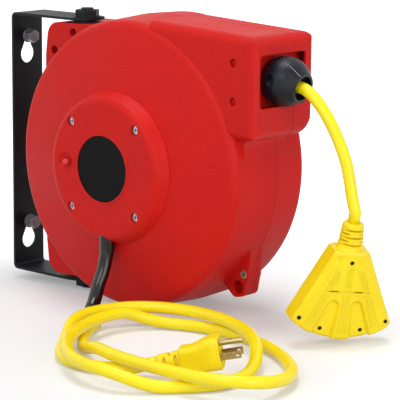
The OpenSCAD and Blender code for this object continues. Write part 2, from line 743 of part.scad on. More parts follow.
wind_pitch = cord_d + 0.6;
loop_rings = 24;
straight = cord_d;

function wind_point(a) = [outlet_z * sin(a), -wind_pitch * a / 360, outlet_z * cos(a)];

// Outer layer, wound back from the outlet over the packed layers under it
wind_path = let (a1 = -360 * outer_loops, n = loop_rings * outer_loops)
  concat([[straight, 0, outlet_z]], [for (i = [0:n]) wind_point(a1 * i / n)],
    [wind_point(a1) - straight * unit(wind_point(a1 + 1) - wind_point(a1 - 1))]);

module wound_cord() color(yellow) at_axis() {
  tube_y(core_r, barrel_r + run_gap, -half_w + run_gap, half_w - run_gap);
  sweep(wind_path, cord_r, 6, s0 = [0, 1, 0]);
}

// ---- cord guide in the nose ----

ball_x = nose_reach + 3;
guide_front = nose_reach - 12.6;
guide_plate = 3;
roller_r = 8;
flat_roller_x = guide_front - 12.4;
flat_roller_dz = 17.4;
tall_roller_x = flat_roller_x - 2 * roller_r - 1.4;
tall_roller_dy = 15.5;
guide_x = [tall_roller_x - roller_r - 1.5, guide_front - guide_plate];
guide_wall = 4;
guide_y = nose_front - wall - 0.2;
guide_z = [outlet_z - 35, outlet_z + 35];
ball_seat_r = run_gap + sqrt(pow(ball_r, 2) - pow(ball_x - guide_front, 2));
guide_pin_r = 2.5;
pin_cover = 1.5;

// Frame round the rollers, closed in front by the plate that the ball stop rests on
module roller_frame() color(red) at_axis() difference() {
  plate_yz(guide_x[0], guide_front) polygon(rounded([[-guide_y, guide_z[0], 3],
    [guide_y, guide_z[0], 3], [guide_y, guide_z[1], 3], [-guide_y, guide_z[1], 3]]));
  translate([0, 0, outlet_z]) rod_x(ball_seat_r, guide_x[0], guide_front + through);
  translate([guide_x[0] - through, guide_wall - guide_y, guide_z[0] + guide_wall])
    cube([guide_x[1] - guide_x[0] + through, 2 * (guide_y - guide_wall),
      guide_z[1] - guide_z[0] - 2 * guide_wall]);
  for (z = [-1, 1]) translate([flat_roller_x, 0, outlet_z + z * flat_roller_dz])
    rod_y(guide_pin_r + fit_gap, pin_cover - guide_y, guide_y + through);
  for (y = [-1, 1]) translate([tall_roller_x, y * tall_roller_dy, 0])
    rod_z(guide_pin_r + fit_gap, guide_z[0] - through, guide_z[1] + through);
}

module roller_pins() color(steel) at_axis() {
  for (z = [-1, 1]) translate([flat_roller_x, 0, outlet_z + z * flat_roller_dz])
    rod_y(guide_pin_r, pin_cover + 0.1 - guide_y, guide_y - 0.1);
  for (y = [-1, 1]) translate([tall_roller_x, y * tall_roller_dy, 0])
    rod_z(guide_pin_r, guide_z[0] + 0.1, guide_z[1] - 0.1);
}

module flat_roller(s) color(black) at_axis()
  translate([flat_roller_x, 0, outlet_z + s * flat_roller_dz])
    tube_y(roller_r, guide_pin_r + fit_gap, guide_wall + run_gap - guide_y,
      guide_y - guide_wall - run_gap);

module tall_roller(s) color(black) at_axis()
  translate([tall_roller_x, s * tall_roller_dy, 0]) difference() {
    z0 = guide_z[0] + guide_wall + run_gap;
    rod_z(roller_r, z0, 2 * outlet_z - z0);
    rod_z(guide_pin_r + fit_gap, z0 - through, 2 * outlet_z - z0 + through);
  }

module roller_top() flat_roller(1);
module roller_bottom() flat_roller(-1);
module roller_front() tall_roller(-1);
module roller_rear() tall_roller(1);

// ---- ball stop and output cord ----

ball_roll = 31;
ball_mouth = 20.5;
mouth_r = 13.5;
mouth_bore_r = 11.2;
ball_screw_at = [[-1, 13.5], [-1, -13.5]];
ball_screw_r = 1.75;
ball_seat = 11;
bore_r = cord_r + 0.4;

module at_ball() at_axis() translate([ball_x, 0, outlet_z]) rotate([0, ball_tilt, 0])
  rotate([ball_roll, 0, 0]) children();

// Half of a ball with a cone that closes on the mouth
module half_ball() rotate([0, 90, 0]) rotate_extrude(angle = 180, $fn = 96) polygon(concat(
  [for (a = [180:-9:54]) ball_r * [max(0, sin(a)), cos(a)]],
  [[mouth_r, ball_mouth], [0, ball_mouth]]));

module ball_half(s) color([0.2, 0.2, 0.23]) at_ball() difference() {
  rotate([s > 0 ? 0 : 180, 0, 0]) half_ball();
  rod_x(bore_r, 0, 50);
  rod_x(mouth_bore_r, ball_mouth - 7, 50);
  rotate([-ball_roll, 0, 0]) rotate([0, -ball_tilt, 0]) rod_x(bore_r + run_gap, -50, 1.5);
  for (q = ball_screw_at) translate([q[0], 0, q[1]]) {
    rod_y(ball_screw_r + fit_gap, -ball_r, ball_seat);
    rod_y(4.2, -ball_r, -ball_seat);
  }
}

module ball_front() ball_half(-1);
module ball_back() ball_half(1);

module ball_screws() color(steel) at_ball() for (q = ball_screw_at)
  translate([q[0], 0, q[1]]) pan_screw_y(ball_screw_r, 3.4, -ball_seat - 2.25, ball_seat - 1);

tap_turn = 54;
tap_dip = 8.5;
tap_roll = 5.5;
tap_pos = [239.5, 0, -27.5];
relief_h = 24;

module at_tap() at_axis() translate(tap_pos) rotate([0, 0, tap_turn]) rotate([tap_dip, 0, 0])
  rotate([0, tap_roll, 0]) children();

// Direction up along the tap's own axis
tap_up = let (u = [sin(tap_roll), 0, cos(tap_roll)],
  v = [u[0], -u[2] * sin(tap_dip), u[2] * cos(tap_dip)])
  [v[0] * cos(tap_turn) - v[1] * sin(tap_turn), v[0] * sin(tap_turn) + v[1] * cos(tap_turn), v[2]];

// A point of the ball stop's own axis, s from its centre
function ball_axis(s) = [ball_x + s * cos(ball_tilt), 0, outlet_z - s * sin(ball_tilt)];

// Free stretch from the ball stop to the tap; its ends run straight into what holds them
hang_points = concat([[ball_x + 1.5, 0, outlet_z], ball_axis(8), ball_axis(16), ball_axis(24)],
  [[194, 0, 78], [207, 0, 64.4], [220.5, 0, 44.3], [230.5, 0, 22.2], [236.8, 0, -3.9]],
  [tap_pos + 9 * tap_up]);
hang = concat([[ball_x, 0, outlet_z]], smooth(hang_points, 2), [tap_pos]);

module output_cord() color(yellow) at_axis() sweep(hang, cord_r, 8, s0 = [0, 1, 0]);

module inner_cord() color(yellow) at_axis()
  translate([0, 0, outlet_z]) rod_x(cord_r - fit_gap, straight + 1.6, ball_x);

// ---- triple tap ----

fan_c = [0, 77.5 - tap_h];
fan_r = 77.5;
fan_a = asin((tap_w / 2) / fan_r);

function fan_outline(g, drop) = concat([[-tap_top_w / 2 + g, -drop]],
  [for (k = [0:14]) let (a = -90 - fan_a + 2 * fan_a * k / 14)
    [fan_c[0] + (fan_r - g) * cos(a) * (1 - g / fan_r), fan_c[1] + (fan_r - g / 4) * sin(a)]],
  [[tap_top_w / 2 - g, -drop]]);

outlet_angles = [-30, 0, 30];
tap_bevel = 4;

module relief_profile(h, r_top, r_base, grooves) rotate_extrude() polygon(concat(
  [[0, 0], [r_top - 1, 0], [r_top, -1.5]],
  [for (k = [1:grooves]) let (z = -h * (0.28 + 0.22 * k), r = r_top + (r_base - r_top) * -z / h)
    each [[r, z + 1.4], [r - 1.6, z + 0.6], [r - 1.6, z - 0.6], [r, z - 1.4]]],
  [[r_base, -h - 1], [0, -h - 1]]));

module tap_body() color(yellow) at_tap() {
  relief_profile(relief_h, 9.6, 12, 3);
  translate([0, 0, -relief_h]) difference() {
    union() {
      plate_xz(-tap_t / 2 + tap_bevel, tap_t / 2 - tap_bevel) polygon(fan_outline(0, 0));
      hull() {
        plate_xz(-tap_t / 2, tap_t / 2) polygon(fan_outline(tap_bevel, 1.5));
        plate_xz(-tap_t / 2 + tap_bevel, tap_t / 2 - tap_bevel) polygon(fan_outline(0.05, 0.05));
      }
    }
    both_faces() face_cuts();
    tap_slots();
  }
}

module both_faces() {
  children();
  mirror([0, 1, 0]) children();
}

// Two valleys, a slot and the rivet wells on one broad face
module face_cuts() translate([0, -tap_t / 2, 0]) {
  for (a = [-13, 13]) plate_xz(-through, valley_d) polygon(rounded(valley(a)));
  translate([-20.5, -through, -37.5]) cube([41, through + 2, 1]);
  for (q = rivet_at) translate([q[0], q[2], q[1]]) rod_y(rivet_r + fit_gap, -5, rivet_l);
}

function polar(r, a) = [fan_c[0] + r * sin(a), fan_c[1] - r * cos(a)];

valley_d = 3.5;

function valley(a) = [for (q = [[44, -5, 4], [fan_r + 6, -9, 0], [fan_r + 6, 9, 0], [44, 5, 4]])
  let (p = polar(q[0], a + q[1])) [p[0], p[1], q[2]]];

rivet_r = 1.75;
rivet_l = 1.8;

// Rivet heads, [x, z, depth of the face they sit in]
rivet_at = [[0, -9.5, 0], [each polar(71, -15.5), valley_d], [each polar(71, 15.5), valley_d],
  [each polar(71, -35), 0], [each polar(71, 35), 0]];

// Three receptacles in the curved lower edge
module tap_slots() for (a = outlet_angles) translate([fan_c[0], 0, fan_c[1]])
  rotate([0, -a, 0]) translate([0, 0, -fan_r]) {
    for (x = [-6.35, 6.35]) translate([x - 1.1, -5.5, -through]) cube([2.2, 8, 19]);
    translate([0, 6.3, -through]) cylinder(r = 2.7, h = 19);
  }

module tap_contacts() color(brass) at_tap() translate([fan_c[0], 0, fan_c[1] - relief_h])
  for (a = outlet_angles) rotate([0, -a, 0]) translate([0, 0, -fan_r + 8])
    for (x = [-6.35, 6.35]) translate([x - 1, -5.3, 0]) cube([0.6, 7.6, 9.9]);

module tap_rivets() color(steel) at_tap() translate([0, 0, -relief_h]) both_faces()
  for (q = rivet_at) translate([q[0], q[2] - tap_t / 2, q[1]])
    rod_y(rivet_r, 0.8, rivet_l - fit_gap);

// ---- lead-in sleeve, cord and plug ----

floor_z = -case_r - 1;

// Sleeve's bend, from the drum's axis
sleeve_points = [[0, inlet_y, -hub_r], [0, -66, -82], [0, -70, -96], [0, -77, -110],
  [3, -85, -122], [7, -94, -130]];
bend_steps = 3;
sleeve_last = bend_steps * (len(sleeve_points) - 1);

module inlet_sleeve() color(black) at_axis() {
  translate([0, inlet_y, 0]) rod_z(neck_r, -hub_r - 0.5, -56);
  translate([-7, inlet_y - 4.8, -62]) cube([14, 9.8, 5]);
  sweep(lead_path, sleeve_r, 12, 0, sleeve_last, s0 = [0, 1, 0]);
}

// Heights of the loose coil's loops over the floor, [angle, layer]
coil_layers = [[180, 0], [222, 0], [246, 1], [322, 1], [392, 0], [440, 0], [490, 1], [604, 1],
  [646, 0], [705, 0], [740, 1], [838, 1], [874, 0]];
coil_a0 = 195;
coil_a1 = 870;
layer_h = cord_d + 1;

function layer_at(a, i = 0) = a < coil_layers[i + 1][0]
  ? let (p = coil_layers[i], q = coil_layers[i + 1], u = (a - p[0]) / (q[0] - p[0]))
    p[1] + (q[1] - p[1]) * (1 - cos(180 * u)) / 2
  : layer_at(a, i + 1);

// Each loop drifts and widens a little against the one before
function coil_point(a) = let (t = (a - 200) / 360)
  [152.7 - 9 * t + (132.2 - 45 * t) * cos(a) - (28.1 + 32.9 * t) * sin(a) + 14.5 * cos(2 * a)
     - 3.9 * sin(2 * a) + 8.5 * cos(3 * a) + 5 * sin(3 * a),
   -127.2 - 25.5 * t + (52.7 * t - 28.7) * cos(a) + (88.3 - 4.2 * t) * sin(a) + 2.8 * cos(2 * a)
     + 5.9 * sin(2 * a) - 9.2 * cos(3 * a) + 7.8 * sin(3 * a),
   floor_z + cord_r + layer_h * layer_at(a)];

coil_points = [for (a = [coil_a0:360 / loop_rings:coil_a1]) coil_point(a)];

// Where the cord lies on the floor at one layer
rest_z = floor_z + cord_r;

plug_pos = [179.1, -190.6, -128];
plug_turn = 33;
plug_rise = 11;
plug_dir = [cos(plug_rise) * cos(plug_turn), cos(plug_rise) * sin(plug_turn), sin(plug_rise)];

// Free stretches on both sides of the coil; the last runs straight into the plug
drop_points = [[10, -98, rest_z + 1.2], [17, -103, rest_z], [25, -109, rest_z]];
tail_points = [[84, -210, rest_z], [106, -219, rest_z], [128, -217, rest_z], [148, -209, rest_z],
  [163, -200.5, rest_z + 2.7], plug_pos - 6 * plug_dir];
drop_path = smooth(concat(sleeve_points, drop_points, [coil_points[0]]), bend_steps);
tail_path = smooth(concat([coil_points[len(coil_points) - 1]], tail_points), 2);
lead_path = concat([for (i = [0:len(drop_path) - 2]) drop_path[i]], coil_points,
  [for (i = [1:len(tail_path) - 1]) tail_path[i]], [plug_pos]);
coil_first = len(drop_path) - 1;
coil_last = coil_first + len(coil_points) - 1;

function least_gap(p, skip, d) = min([for (i = [0:len(p) - 1], j = [i + skip:1:len(p) - 1])
  norm(p[i] - p[j])]) - d;

module lead_cord() color(yellow) at_axis() {
  sweep(lead_path, cord_r, 8, sleeve_last, coil_first);
  sweep(lead_path, cord_r, 8, coil_last, len(lead_path) - 1);
}

module lead_coil() color(yellow) at_axis() {
  echo(least_gap_of_lead_cord = least_gap(lead_path, 10, cord_d));
  echo(least_gap_of_winding = least_gap(wind_path, 10, cord_d));
  sweep(lead_path, cord_r, 6, coil_first, coil_last);
}

plug_relief = 20;

// Frame of the plug: X along it towards the blades, Z up
module at_plug() at_axis() translate(plug_pos) rotate([0, 0, plug_turn])
  rotate([0, -plug_rise, 0]) children();

module plug_body() color(yellow) at_plug() {
  rotate([0, -90, 0]) relief_profile(plug_relief, 7.4, 8.6, 2);
  translate([plug_relief, 0, 2]) difference() {
    intersection() {
      plate_xz(-plug_w / 2, plug_w / 2) polygon(rounded([[0, -plug_h / 2 + 3, 2],
        [10, -plug_h / 2 + 0.5, 6], [plug_len, -plug_h / 2, 2], [plug_len, plug_h / 2, 2],
        [18, plug_h / 2 - 1, 10], [10, plug_h / 2 - 5, 6], [0, plug_h / 2 - 6, 2]]));
      translate([0, 0, -50]) linear_extrude(100) polygon(rounded([[0, -plug_w / 2 + 3, 3],
        [plug_len * 0.4, -plug_w / 2 + 2, 12], [plug_len * 0.6, -plug_w / 2, 5],
        [plug_len, -plug_w / 2, 2], [plug_len, plug_w / 2, 2], [plug_len * 0.6, plug_w / 2, 5],
        [plug_len * 0.4, plug_w / 2 - 2, 12], [0, plug_w / 2 - 3, 3]]));
    }
    for (y = [-6.35, 6.35]) translate([plug_len - 8, y - 0.8, -3.2 - 3.2 - 0.05])
      cube([9, 1.6, 6.5]);
    translate([0, 0, 7.2]) rod_x(2.45, plug_len - 8, plug_len + 1);
  }
}

module plug_blades() color(brass) at_plug() for (y = [-6.35, 6.35])
  translate([plug_relief + plug_len - 7.9, y - 0.75, 2 - 6.4]) difference() {
    cube([25.4, 1.5, 6.35]);
    translate([22, -1, 3.2]) rotate([-90, 0, 0]) cylinder(r = 1.6, h = 4);
  }

module plug_ground_pin() color(brass) at_plug() translate([0, 0, 9.2]) {
  rod_x(2.4, plug_relief + plug_len - 7.9, plug_relief + plug_len + 18.5);
  translate([plug_relief + plug_len + 18.5, 0, 0]) sphere(r = 2.38);
}

bracket();
wall_bolts();
wall_washers();
pivot_bolts();
pivot_nuts();
pivot_spacers();
front_shell();
back_shell();
hub_cover();
label_plate();
cover_screws();
case_screws();
bushing_screws();
pivot_bushings();
drum_shaft();
spring_arbor();
power_spring();
brush_block();
brushes();
breaker_body();
reset_button();
roller_frame();
roller_pins();
roller_top();
roller_bottom();
roller_front();
roller_rear();
drum_back();
drum_front();
drum_screws();
drum_bushings();
ratchet_ring();
slip_ring_core();
slip_rings();
wound_cord();
pawl();
pawl_pin();
inner_cord();
ball_front();
ball_back();
ball_screws();
output_cord();
tap_body();
tap_rivets();
tap_contacts();
inlet_sleeve();
lead_cord();
lead_coil();
plug_body();
plug_blades();
plug_ground_pin();
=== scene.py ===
"""Looks of the extension cord reel: camera, cords, light, materials and the detailed pieces.

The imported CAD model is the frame. Everything is in metres in its frame: +X away from the wall,
-Y to the front of the case, +Z up. Routes and shapes are written in millimetres from the drum's
axis, as in the part's source, and moved by in_row() or a piece's own matrix.
"""

import math

import bpy
import numpy as np
from mathutils import Matrix, Vector


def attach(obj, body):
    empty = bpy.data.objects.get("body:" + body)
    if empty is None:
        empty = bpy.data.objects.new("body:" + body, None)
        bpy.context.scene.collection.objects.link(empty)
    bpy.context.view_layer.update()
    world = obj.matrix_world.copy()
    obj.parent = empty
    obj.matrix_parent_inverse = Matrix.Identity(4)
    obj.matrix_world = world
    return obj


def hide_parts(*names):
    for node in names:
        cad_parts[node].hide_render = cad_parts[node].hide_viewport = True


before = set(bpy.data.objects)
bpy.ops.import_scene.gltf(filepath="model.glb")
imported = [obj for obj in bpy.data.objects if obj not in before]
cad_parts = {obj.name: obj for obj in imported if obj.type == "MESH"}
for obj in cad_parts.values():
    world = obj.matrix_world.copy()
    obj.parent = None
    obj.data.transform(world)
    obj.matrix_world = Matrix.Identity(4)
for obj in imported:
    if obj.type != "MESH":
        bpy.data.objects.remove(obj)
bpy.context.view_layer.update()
scene = bpy.context.scene

MM = 0.001
AXIS_X = 175.0  # the drum's axis, mm from the wall
HUB_R = 72.8
CORD_R = 5.5
FLOOR_Z = -141.0


# ---- camera ----

CAMERA_AT = (1.434757, -1.38348, 0.32731)
CAMERA_AZIMUTH = 40.9575
CAMERA_ELEVATION = 11.0859
CAMERA_ROLL = 0.5167
CAMERA_LENS = 177.817


def make_camera():
    """Camera fitted to the photo: place, angles in degrees and lens."""
    a, e, roll = (math.radians(v) for v in (CAMERA_AZIMUTH, CAMERA_ELEVATION, CAMERA_ROLL))
    back = Vector((math.sin(a) * math.cos(e), -math.cos(a) * math.cos(e), math.sin(e)))
    right = Vector((math.cos(a), math.sin(a), 0.0))
    up = back.cross(right)
    right, up = (
        right * math.cos(roll) + up * math.sin(roll),
        up * math.cos(roll) - right * math.sin(roll),
    )
    data = bpy.data.cameras.new("camera")
    data.lens = CAMERA_LENS
    data.sensor_width = 36.0
    data.clip_start, data.clip_end = 0.05, 60.0
    camera = bpy.data.objects.new("camera", data)
    scene.collection.objects.link(camera)
    camera.matrix_world = Matrix.Translation(CAMERA_AT) @ Matrix(
        (right, up, back)
    ).transposed().to_4x4()
    scene.camera = camera


make_camera()


# ---- meshes, as pairs of points in millimetres and faces ----


def smooth(points, m):
    """Points of a smooth curve through given points, with m steps between each two."""
    p = [np.array(q, float) for q in points]
    n = len(p)
    out = []
    for i in range(n - 1):
        a, b, c, d = p[max(i - 1, 0)], p[i], p[i + 1], p[min(i + 2, n - 1)]
        for k in range(m):
            u = k / m
            out.append(
                b
                + u * (c - a) / 2
                + u * u * (2 * a - 5 * b + 4 * c - d) / 2
                + u**3 * (3 * b - a - 3 * c + d) / 2
            )
    out.append(p[-1])
    return np.array(out)


def in_row(points):
    """From millimetres about the drum's axis to metres in the row frame."""
    return (np.array(points, float) + (AXIS_X, 0, 0)) * MM


def frames_along(path, side):
    """Two unit vectors across the path at each point, carried along without twist."""
    t = np.empty_like(path)
    t[1:-1] = path[2:] - path[:-2]
    t[0], t[-1] = path[1] - path[0], path[-1] - path[-2]
    t /= np.linalg.norm(t, axis=1)[:, None]
    s = np.empty_like(path)
    v = np.array(side, float)
    for i in range(len(path)):
        v = v - (v @ t[i]) * t[i]
        v /= np.linalg.norm(v)
        s[i] = v
    return s, np.cross(t, s)


def rings(points, n, sides):
    """Faces of n rings of the given number of points, closed with a fan at both ends."""
    faces = [
        (
            i * sides + k,
            i * sides + (k + 1) % sides,
            (i + 1) * sides + (k + 1) % sides,
            (i + 1) * sides + k,
        )
        for i in range(n - 1)
        for k in range(sides)
    ]
    last = (n - 1) * sides
    faces += [(n * sides, (k + 1) % sides, k) for k in range(sides)]
    faces += [(n * sides + 1, last + k, last + (k + 1) % sides) for k in range(sides)]
    ends = [points[:sides].mean(0), points[last:last + sides].mean(0)]
    return np.vstack([points, ends]), faces


def tube(path, radius, sides=20, side=(0, 0, 1), bump=None):
    """Closed round tube along a path. radius is one number or one for each point.
    bump(i, angle) gives a radial offset for point i of the path."""
    path = np.asarray(path, float)
    n = len(path)
    radius = np.full(n, radius, float) if np.isscalar(radius) else np.asarray(radius, float)
    s, w = frames_along(path, side)
    angle = np.arange(sides) * 2 * math.pi / sides
    r = np.repeat(radius[:, None], sides, axis=1)
    if bump is not None:
        r = r + bump(np.arange(n)[:, None], angle[None, :])
    ring = (
        path[:, None, :]
        + r[:, :, None] * np.cos(angle)[None, :, None] * s[:, None, :]
        + r[:, :, None] * np.sin(angle)[None, :, None] * w[:, None, :]
    )
    return rings(ring.reshape(-1, 3), n, sides)


def rod(a, b, radius, sides=24):
    """Round bar from a to b."""
    return tube([a, b], radius, sides, (0.3, 0.5, 0.8))


def box(lo, hi):
    """Box between two opposite corners."""
    x0, y0, z0 = lo
    x1, y1, z1 = hi
    points = [(x, y, z) for x in (x0, x1) for y in (y0, y1) for z in (z0, z1)]
    return np.array(points, float), [
        (0, 1, 3, 2), (4, 6, 7, 5), (0, 4, 5, 1), (2, 3, 7, 6), (0, 2, 6, 4), (1, 5, 7, 3),
    ]  # fmt: skip


def joined(*meshes):
    """One mesh of several."""
    points, faces, base = [], [], 0
    for p, f in meshes:
        points.append(p)
        faces += [tuple(i + base for i in face) for face in f]
        base += len(p)
    return np.vstack(points), faces


def placed(mesh, matrix):
    """A mesh moved by a 4x4 matrix."""
    m = np.array(matrix)
    return mesh[0] @ m[:3, :3].T + m[:3, 3], mesh[1]


def new_object(name, mesh, sharp=None):
    """An object from a mesh in metres. Edges over sharp degrees stay sharp."""
    data = bpy.data.meshes.new(name)
    data.from_pydata([tuple(v) for v in mesh[0]], [], mesh[1])
    data.validate()
    data.update()
    data.polygons.foreach_set("use_smooth", [True] * len(data.polygons))
    if sharp is not None:
        data.set_sharp_from_angle(angle=math.radians(sharp))
    obj = bpy.data.objects.new(name, data)
    scene.collection.objects.link(obj)
    return obj


def carve(obj, cutter_mesh, sharp):
    """Cut the cutter's closed shapes out of an object, and keep only the result."""
    cutter = new_object("cutter", cutter_mesh)
    change = obj.modifiers.new("carve", "BOOLEAN")
    change.operation = "DIFFERENCE"
    change.solver = "EXACT"
    change.object = cutter
    graph = bpy.context.evaluated_depsgraph_get()
    result = bpy.data.meshes.new_from_object(obj.evaluated_get(graph))
    obj.modifiers.clear()
    obj.data = result
    result.polygons.foreach_set("use_smooth", [True] * len(result.polygons))
    result.set_sharp_from_angle(angle=math.radians(sharp))
    bpy.data.objects.remove(cutter)


def ease(t):
    """From 0 to 1, flat at both ends."""
    t = np.clip(t, 0, 1)
    return t * t * (3 - 2 * t)


def turned(axis, degrees):
    """Turn about an axis through the origin."""
    return Matrix.Rotation(math.radians(degrees), 4, axis)


def at_disc(point, *turns):
    """From a piece's own millimetres to the row frame's metres."""
    x, y, z = point
    m = Matrix.Scale(MM, 4) @ Matrix.Translation((x + AXIS_X, y, z))
    for axis, degrees in turns:
        m = m @ turned(axis, degrees)
    return m


# ---- cords ----

BALL_X = 160.0
OUTLET_Z = 91.0
BALL_TILT, BALL_ROLL = 14.0, 31.0
TAP_POS = (239.5, 0, -27.5)
PLUG_POS = (179.1, -190.6, -128)
AT_BALL = at_disc((BALL_X, 0, OUTLET_Z), ("Y", BALL_TILT), ("X", BALL_ROLL))
AT_TAP = at_disc(TAP_POS, ("Z", 54.0), ("X", 8.5), ("Y", 5.5))  # Z is up along the tap
AT_PLUG = at_disc(PLUG_POS, ("Z", 33.0), ("Y", -11.0))  # X is along the plug


def direction(matrix, axis):
    """Where a piece's own axis points in the row frame."""
    v = matrix.to_3x3() @ Vector(axis)
    return np.array(v.normalized())


def ball_axis(s):
    """A point on the ball's tilted axis, s from its centre."""
    a = math.radians(BALL_TILT)
    return [BALL_X + s * math.cos(a), 0, OUTLET_Z - s * math.sin(a)]


# Route of the output cord, from the ball to the tap
HANG = [
    [BALL_X + 1.5, 0, OUTLET_Z], ball_axis(8), ball_axis(16), ball_axis(24),
    [194, 0, 78], [207, 0, 64.4], [220.5, 0, 44.3], [230.5, 0, 22.2], [236.8, 0, -3.9],
    TAP_POS + 9 * direction(AT_TAP, (0, 0, 1)),
]  # fmt: skip

# The coil's layer over the floor at some angles along it
COIL_LAYERS = [
    (180, 0), (222, 0), (246, 1), (322, 1), (392, 0), (440, 0), (490, 1), (604, 1),
    (646, 0), (705, 0), (740, 1), (838, 1), (874, 0),
]  # fmt: skip
LAYER_H = 12.0
REST_Z = FLOOR_Z + CORD_R


def layer_at(a):
    """The coil's layer at angle a, with an eased step between two layers."""
    for (a0, l0), (a1, l1) in zip(COIL_LAYERS, COIL_LAYERS[1:]):
        if a < a1:
            return l0 + (l1 - l0) * (1 - math.cos(math.pi * (a - a0) / (a1 - a0))) / 2
    return COIL_LAYERS[-1][1]


def coil_point(a):
    """A point of the loose coil, a in degrees along it."""
    t = (a - 200) / 360
    c, s = math.cos(math.radians(a)), math.sin(math.radians(a))
    c2, s2 = math.cos(math.radians(2 * a)), math.sin(math.radians(2 * a))
    c3, s3 = math.cos(math.radians(3 * a)), math.sin(math.radians(3 * a))
    return [
        152.7 - 9 * t + (132.2 - 45 * t) * c - (28.1 + 32.9 * t) * s + 14.5 * c2 - 3.9 * s2
        + 8.5 * c3 + 5 * s3,
        -127.2 - 25.5 * t + (52.7 * t - 28.7) * c + (88.3 - 4.2 * t) * s + 2.8 * c2 + 5.9 * s2
        - 9.2 * c3 + 7.8 * s3,
        REST_Z + LAYER_H * layer_at(a),
    ]  # fmt: skip


NECK_Y = -64.9  # where the sleeve leaves the hub cover
# Route of the lead-in cord: in its sleeve, down to the floor, then from the coil to the plug
IN_SLEEVE = [
    [0, NECK_Y, -HUB_R], [0, -66, -82], [0, -70, -96], [0, -77, -110], [3, -85, -122],
    [7, -94, -130],
]  # fmt: skip
DROP = [[10, -98, REST_Z + 1.2], [17, -103, REST_Z], [25, -109, REST_Z]]
TAIL = [
    [84, -210, REST_Z], [106, -219, REST_Z], [128, -217, REST_Z], [148, -209, REST_Z],
    [163, -200.5, REST_Z + 2.7], PLUG_POS - 6 * direction(AT_PLUG, (1, 0, 0)),
]  # fmt: skip
COIL_FROM, COIL_TO = 195, 870
STEPS = 6
coil = [coil_point(a) for a in range(COIL_FROM, COIL_TO + 1, 5)]
inlet_path = smooth(IN_SLEEVE + DROP + [coil[0]], STEPS)
sleeve_end = STEPS * (len(IN_SLEEVE) - 1)
lead_path = np.concatenate([
    inlet_path[sleeve_end:-1], coil, smooth([coil[-1]] + TAIL, STEPS)[1:], [PLUG_POS]
])  # fmt: skip
sleeve_path = inlet_path[:sleeve_end + 1]
hang_path = np.concatenate([[[BALL_X, 0, OUTLET_Z]], smooth(HANG, STEPS), [TAP_POS]])


def jacket(i, angle):
    """Slight unevenness of a moulded jacket over its twisted cores."""
    return 0.06 * np.cos(3 * angle + 0.35 * i)


def dressed(piece, body, slot, *nodes):
    """A piece attached to its body, with the CAD nodes that it stands in for hidden. slot is not
    used.
    """
    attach(piece, body)
    if nodes:
        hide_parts(*nodes)
    return piece


def cord_piece(name, path, body, nodes):
    """Cord along a path in millimetres, attached to its body in place of the given CAD nodes."""
    mesh = tube(path, CORD_R, 24, (0, 1, 0), jacket)
    piece = new_object(name, (in_row(mesh[0]), mesh[1]))
    dressed(piece, body, "cord_jacket", *nodes)
    return piece


# ---- sleeve, ball seam, tap and plug ----

SLEEVE_R, NECK_R = 6.5, 7.4


def make_sleeve():
    """Glossy tube out of the hub cover: a collar, a taper and a rolled lip at its end."""
    steps = np.linalg.norm(np.diff(sleeve_path, axis=0), axis=1)
    along = np.concatenate([[0], np.cumsum(steps)])
    to_end = along[-1] - along
    taper = (NECK_R - SLEEVE_R) * (1 - ease(along / 16))
    lip = 0.35 * np.exp(-((to_end - 1.6) / 1.1) ** 2)
    radius = SLEEVE_R + taper + lip
    radius[-2] = min(radius[-2], SLEEVE_R + 0.1)
    radius[-1] = SLEEVE_R - 0.6
    skin = tube(sleeve_path, radius, 32, (0, 1, 0), lambda i, a: 0.04 * np.cos(a + i * 0.4))
    neck = rod((0, NECK_Y, -56), (0, NECK_Y, -HUB_R - 1.5), NECK_R, 32)
    shoulder = box((-7, NECK_Y - 4.8, -62), (7, NECK_Y + 5, -57))
    mesh = joined(skin, neck, shoulder)
    piece = new_object("sleeve_tube", (in_row(mesh[0]), mesh[1]), 40)
    return dressed(piece, "case", "sleeve_rubber", "inlet_sleeve")


SEAM_R = 23.05  # just outside the ball
MOUTH_RIM = [(16.9, 16.1), (20.3, 13.65)]  # the ball's flat, up to its mouth


def make_ball_seam():
    """Moulding flash along the joint between the ball's halves."""
    angles = [math.radians(a) for a in range(84, 53, -3)]
    profile = [(SEAM_R * math.cos(a), SEAM_R * math.sin(a)) for a in angles] + MOUTH_RIM
    lines = []
    for s in (1, -1):
        path = np.array([(x, 0, s * z) for x, z in profile])
        lines.append(tube(path, np.linspace(0.12, 0.3, len(path)), 6, (0, 1, 0)))
    piece = new_object("ball_seam", placed(joined(*lines), AT_BALL))
    return dressed(piece, "cord", "ball_rubber")


# The tap, from the middle of its top face: X across, Y through it, Z up
TAP_TOP, TAP_LOW = 16.0, 47.0  # half widths at its top and its lower corners
TAP_T, RELIEF_H = 28.0, 24.0  # thickness, height of the strain relief
FAN_Z, FAN_R = -5.5, 77.5  # centre and radius of its curved edge
FAN_A = math.asin(TAP_LOW / FAN_R)
SIDE_NORMAL = (0.9078, 0.4195)  # of its slanted sides, x and z
BEVEL_W, BEVEL_D = 5.2, 3.9
VALLEY_AT = (-13.5, 13.5)  # degrees, between the three lobes
VALLEY_D, VALLEY_R, VALLEY_FROM = 3.5, 6.6, 47.5  # depth, half width, start along its ray
DENT_X, DENT_Z = -13.6, -7.6
DEEPEST = 6.6
SLIT = (-37.8, -36.2)  # z, across both faces
BLADE_X, BLADE_T = 6.35, 1.1  # half the spacing of the blades' slots, half their width
RIVET_RING = 71.0
# Rivets, x, z and the depth of the face they sit in
RIVETS = [(0, -9.5, 0)] + [
    (RIVET_RING * math.sin(math.radians(a)), FAN_Z - RIVET_RING * math.cos(math.radians(a)), d)
    for a, d in ((-15.5, VALLEY_D), (15.5, VALLEY_D), (-35, 0), (35, 0))
]


